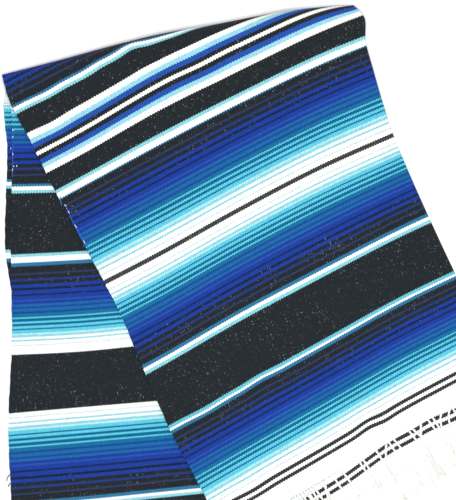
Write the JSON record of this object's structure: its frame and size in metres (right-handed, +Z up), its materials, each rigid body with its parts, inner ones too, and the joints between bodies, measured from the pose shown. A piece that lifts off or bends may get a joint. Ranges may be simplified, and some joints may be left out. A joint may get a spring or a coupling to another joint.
{
  "type": "folded mexican serape blanket",
  "caption": "Striped woven serape blanket with fringed ends, folded lengthwise and then crosswise over a soft roll, lying on a surface with its halves fanned apart.",
  "frame": {"origin": "centre of the bounding box at the surface that the blanket lies on", "axes": "+Z up from the surface, +Y from the fringed ends towards the rolled fold along the lower half, +X towards the side to which the top half turns"},
  "size_m": [1.2306, 1.419, 0.0534],
  "materials": {
    "serape_cloth": "coarse weft-faced weave with stripes in black, blues, teals, cyans and white",
    "fringe_yarn": "loose twisted white warp yarn"
  },
  "bodies": {
    "root": {"upper_panel": "serape_cloth", "second_ply": "serape_cloth", "lower_panel": "serape_cloth", "bottom_ply": "serape_cloth", "fold_core": "serape_cloth", "upper_fringe": "fringe_yarn", "second_fringe": "fringe_yarn", "lower_fringe": "fringe_yarn", "bottom_fringe": "fringe_yarn"}
  },
  "joints": []
}
